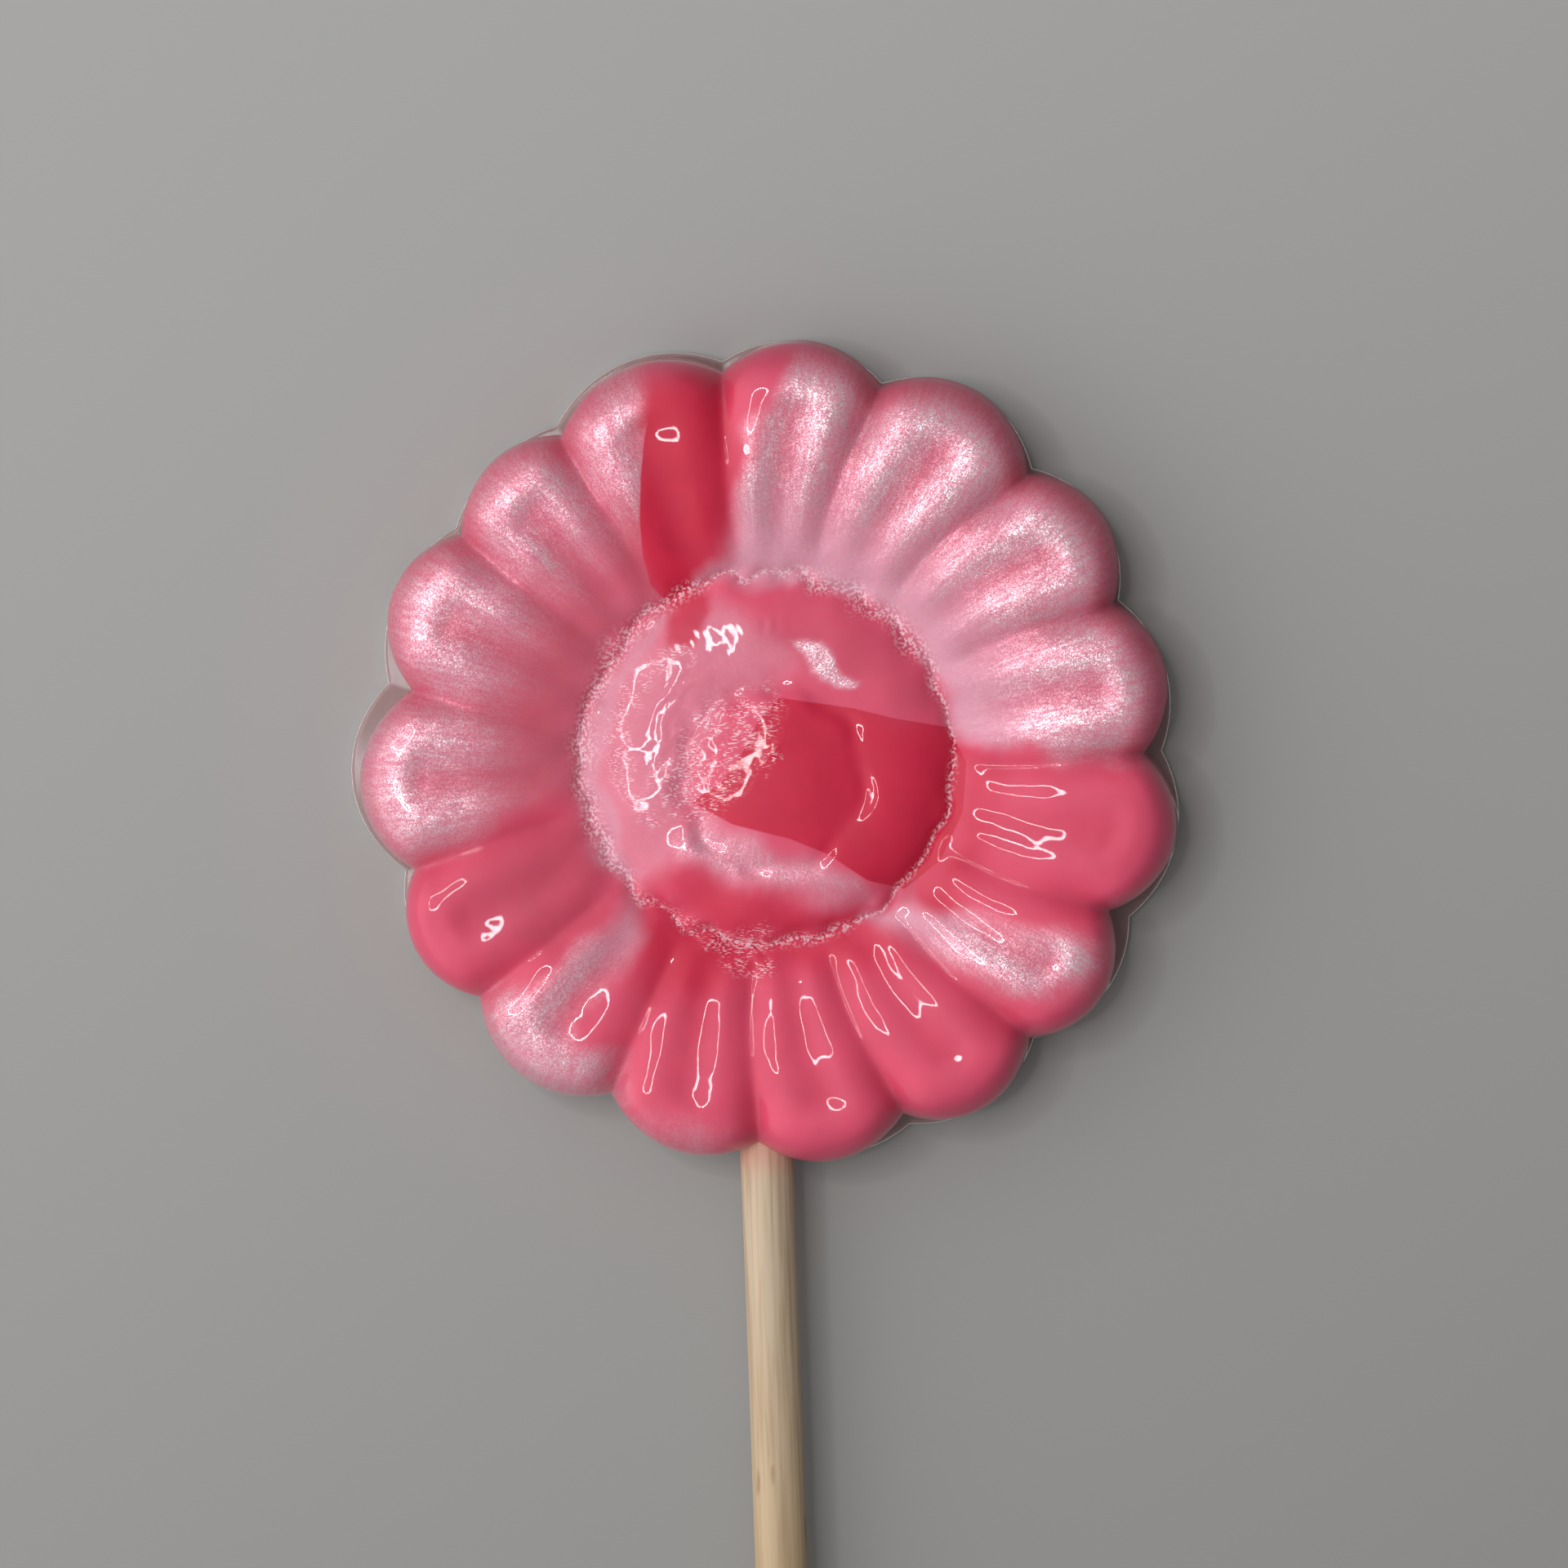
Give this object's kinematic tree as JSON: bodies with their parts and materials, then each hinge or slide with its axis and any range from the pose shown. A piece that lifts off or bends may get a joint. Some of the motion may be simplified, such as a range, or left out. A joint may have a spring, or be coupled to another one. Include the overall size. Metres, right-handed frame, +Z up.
{
  "type": "flower lollipop",
  "caption": "Flower-shaped boiled-sugar lollipop with a raised lobed dome inside rounded petals, on a plain round wooden stick, lying on its flat back.",
  "frame": {"origin": "centre of the flower's flat back", "axes": "+Z up out of the flower's face, +Y from the stick towards the flower's top, so the stick runs along -Y"},
  "size_m": [0.0631, 0.19, 0.0092],
  "materials": {
    "candy": "glossy boiled sugar, marbled pearl pink and clear raspberry red",
    "wood": "raw pale wood, fine grain"
  },
  "bodies": {
    "root": {"flower_head": "candy", "stick": "wood"}
  },
  "joints": []
}
